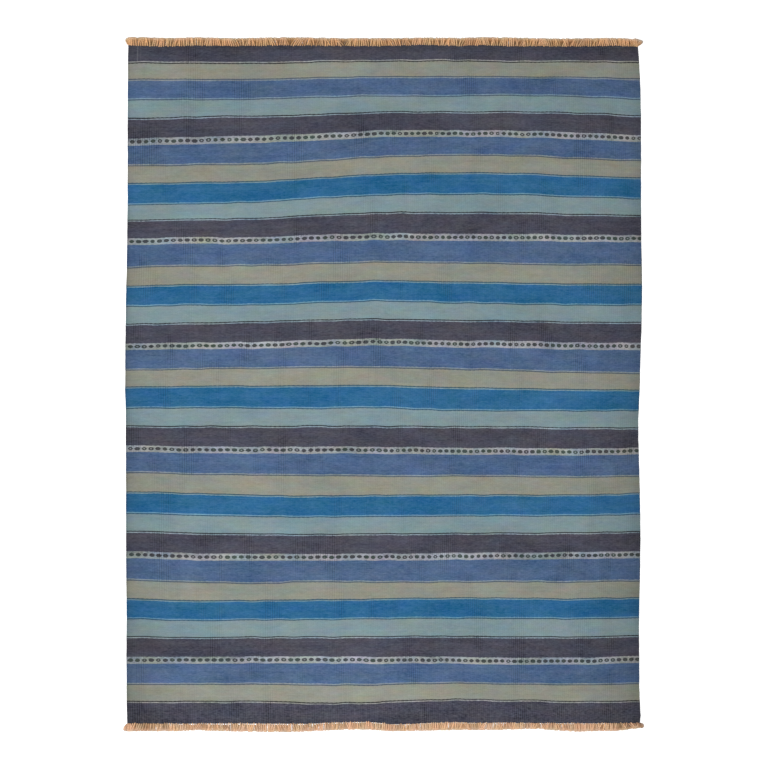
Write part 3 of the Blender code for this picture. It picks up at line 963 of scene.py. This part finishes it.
def grooves(g, weave):
    """Painted shade in the grooves between ribs, which shows in patches, and between beads."""
    patch = g.between(g.noise(weave.spot(g, PATCHES), 1.0, 1.0), *PATCH_RANGE)
    patch = g.sum(PLAIN_GROOVE, g.times(patch, PATCH_GROOVE),
                  g.times(weave.at_foot, FOOT_GROOVES))
    # The lines are strongest where the wool is dark
    rib_groove = g.times(g.times(weave.rib_side, patch), g.times(weave.grain, RIB_GROOVE))
    return g.math("ADD", rib_groove, g.times(weave.bead_end, BEAD_GROOVE))


def painted_side_shade(g, weave):
    """Painted light and shade: the cloth darker towards its sides, lighter in its last stripes."""
    lower = g.math("POWER", g.between(weave.v, 1.10, -1.10), 1.3)
    centre = g.between(g.math("ABSOLUTE", weave.u), *MIDDLE_RANGE)
    foot_light = g.math("ADD", FOOT_LIGHT, g.times(centre, FOOT_LIGHT_MIDDLE))
    level = g.math("ADD", 1.0, g.times(g.between(weave.v, *FOOT_LIGHT_RANGE), foot_light))
    # Painted shade that deepens towards each side
    for start, width, top_loss, bottom_loss, side in EDGE_PAINTED_SHADE:
        shade_share = g.between(g.times(weave.u, side), start, start + width)
        loss = g.math("ADD", top_loss, g.times(lower, bottom_loss - top_loss))
        loss = g.times(g.math("POWER", shade_share, 1.6), loss)
        level = g.times(level, g.math("SUBTRACT", 1.0, loss))
    # Painted shade along the left side around one height
    middle, reach, start, width, most = LEFT_PAINTED_SHADE
    along_side = g.between(g.math("ABSOLUTE", g.math("SUBTRACT", weave.v, middle)), reach, 0.0)
    shade_share = g.between(g.times(weave.u, -1.0), start, start + width)
    loss = g.times(along_side, shade_share, most)
    return g.times(level, g.math("SUBTRACT", 1.0, loss))


def bare_warps(g, weave, color):
    """Near the top left corner the wefts have parted over two of the warps."""
    first_edge = STRIPE_EDGES[1]
    in_first = g.between(weave.v, first_edge - 0.004, first_edge + 0.004)
    for across, pale in BARE_WARPS:
        bare = g.times(g.math("COMPARE", weave.u, across, BARE_HALF_WIDTH), in_first, pale)
        color = g.add("ShaderNodeVectorMath", (color, g.grey(bare)), operation="ADD").outputs[0]
    return color


def dye_cast(g, weave):
    """Dye lots drift between a warmer and a cooler cast, and between green and violet."""
    warm = g.noise(weave.spot(g, WARM_PLACES), 1.0, 3.0, 0.7)
    warm = g.times(g.math("SUBTRACT", warm, 0.5), WARM_DRIFT)
    green = g.noise(weave.spot(g, GREEN_PLACES, 9.0), 1.0, 3.0, 0.72)
    green = g.times(g.math("SUBTRACT", green, 0.5), GREEN_DRIFT)
    return g.vector(g.sum(1.0, warm, g.times(green, -0.5)), g.math("ADD", 1.0, green),
                    g.sum(1.0, g.times(warm, -1.0), g.times(green, -0.5)))


def wool_material():
    """Weft-faced wool in stripes, with pin lines at their edges and rows of dots in pale bands."""
    g = Graph("woven_wool_stripes", linear(WOOLS["blue"]), 0.93, 0.08)
    weave = WeavePlace(g)
    color = dotted_band(g, weave, pin_lines(g, weave))

    own_grey = g.add("ShaderNodeRGBToBW", (color,)).outputs[0]
    grain_color = g.mix(GREY_GRAIN, color, g.grey(own_grey))
    color = g.shaded(color, g.math("ADD", grooves(g, weave), GROOVE_EVENER))
    color = g.add("ShaderNodeVectorMath", (grain_color, g.grey(spun_grain(g, weave)), color),
                  operation="MULTIPLY_ADD").outputs[0]
    color = bare_warps(g, weave, g.shaded(color, painted_side_shade(g, weave)))
    g.put(g.shader.inputs["Base Color"], g.mix(1.0, color, dye_cast(g, weave), "MULTIPLY"))

    relief = g.math("SUBTRACT", 1.0, g.math("MAXIMUM", weave.bead_end, weave.rib_side))
    fibre = g.noise(weave.spot(g, FIBRES), 1.0, 3.0)
    g.put(g.shader.inputs["Normal"], g.bump(fibre, *FIBRE_BUMP, g.bump(relief, *WEAVE_BUMP)))
    return g.material


def yarn_material(end):
    """Undyed warp yarn, darker and browner where it leaves the cloth."""
    root, body, tip = (linear(color) for color in YARN_COLORS[end])
    g = Graph("warp_yarn_" + end, body, 0.90, 0.10)
    along = g.attribute("along", "Fac")
    shade = g.attribute("shade", "Fac")
    # Towards the tips the yarns fluff out and look more alike
    alike = g.times(g.between(along, 0.50, 0.95), 0.6)
    shade = g.math("ADD", shade, g.times(alike, g.math("SUBTRACT", TIP_SHADE, shade)))
    color = g.mix(g.between(along, 0.05, 0.45), root, body)
    color = g.mix(g.between(along, 0.66, 1.0), color, tip)
    # The deepest yarns, painted shadow between the bundles, turn browner
    color = g.mix(g.between(shade, 0.60, 0.0), color, g.mix(1.0, color, SHADOW_TINT, "MULTIPLY"))
    place = g.add("ShaderNodeTexCoord").outputs["Object"]
    cloud = g.sway(place, 0.08, 60.0, 2.0)
    fibre = g.noise(place, 1500.0, 3.0)
    level = g.sum(0.46, g.times(shade, 0.64), cloud, g.times(g.math("SUBTRACT", fibre, 0.5), 0.3))
    color = g.shaded(color, level)
    warm = g.mix(g.between(g.noise(place, 35.0, 1.0), 0.38, 0.62), *WARM_CASTS)
    pink = g.mix(g.between(g.noise(place, 22.0, 1.0), 0.40, 0.60), *PINK_CASTS)
    tint = g.mix(1.0, warm, pink, "MULTIPLY")
    g.put(g.shader.inputs["Base Color"], g.mix(1.0, color, tint, "MULTIPLY"))
    g.put(g.shader.inputs["Normal"], g.bump(fibre, 0.0003, 0.6))
    return g.material


def build_floor():
    bpy.ops.mesh.primitive_plane_add(size=60.0, location=(0.0, 0.0, 0.0))
    floor = bpy.context.object
    floor.name = "studio_floor"
    material = bpy.data.materials.new("pale_floor")
    material.use_nodes = True
    shader = material.node_tree.nodes["Principled BSDF"]
    shader.inputs["Base Color"].default_value = (0.93, 0.93, 0.93, 1.0)
    shader.inputs["Roughness"].default_value = 0.95
    shader.inputs["Specular IOR Level"].default_value = 0.0
    shader.inputs["Emission Color"].default_value = (1.0, 1.0, 1.0, 1.0)
    shader.inputs["Emission Strength"].default_value = 0.25
    floor.data.materials.append(material)


def add_light(name, place, target, size, power):
    data = bpy.data.lights.new(name, "AREA")
    data.shape = "SQUARE"
    data.size = size
    data.energy = power
    light = bpy.data.objects.new(name, data)
    light.location = place
    light.visible_camera = False
    light.rotation_euler = (Vector(target) - Vector(place)).to_track_quat("-Z", "Y").to_euler()
    bpy.context.scene.collection.objects.link(light)


def build_camera():
    data = bpy.data.cameras.new("photo_camera")
    data.lens = CAMERA_LENS
    data.sensor_width = 36.0
    data.clip_end = 100.0
    camera = bpy.data.objects.new("photo_camera", data)
    camera.location = CAMERA_PLACE
    bpy.context.scene.collection.objects.link(camera)
    bpy.context.scene.camera = camera


def build_world():
    world = bpy.data.worlds.new("studio")
    world.use_nodes = True
    background = world.node_tree.nodes["Background"]
    background.inputs["Color"].default_value = (1.0, 1.0, 1.0, 1.0)
    background.inputs["Strength"].default_value = 0.25
    bpy.context.scene.world = world
    bpy.context.scene.view_settings.view_transform = "Standard"


def main():
    build_camera()
    build_world()
    build_floor()
    for light in LIGHTS:
        add_light(*light)

    wool = wool_material()
    cloth = build_cloth()
    left = build_selvedge("selvedge_left", LEFT, -1.0)
    right = build_selvedge("selvedge_right", RIGHT, 1.0)
    for piece in (cloth, left, right):
        piece.data.materials.append(wool)
        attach(piece, "root")
        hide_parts("kilim_panel")

    for end in ("top", "bottom"):
        piece = build_yarns(end)
        piece.data.materials.append(yarn_material(end))
        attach(piece, "root")
        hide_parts("fringe_" + end)


main()
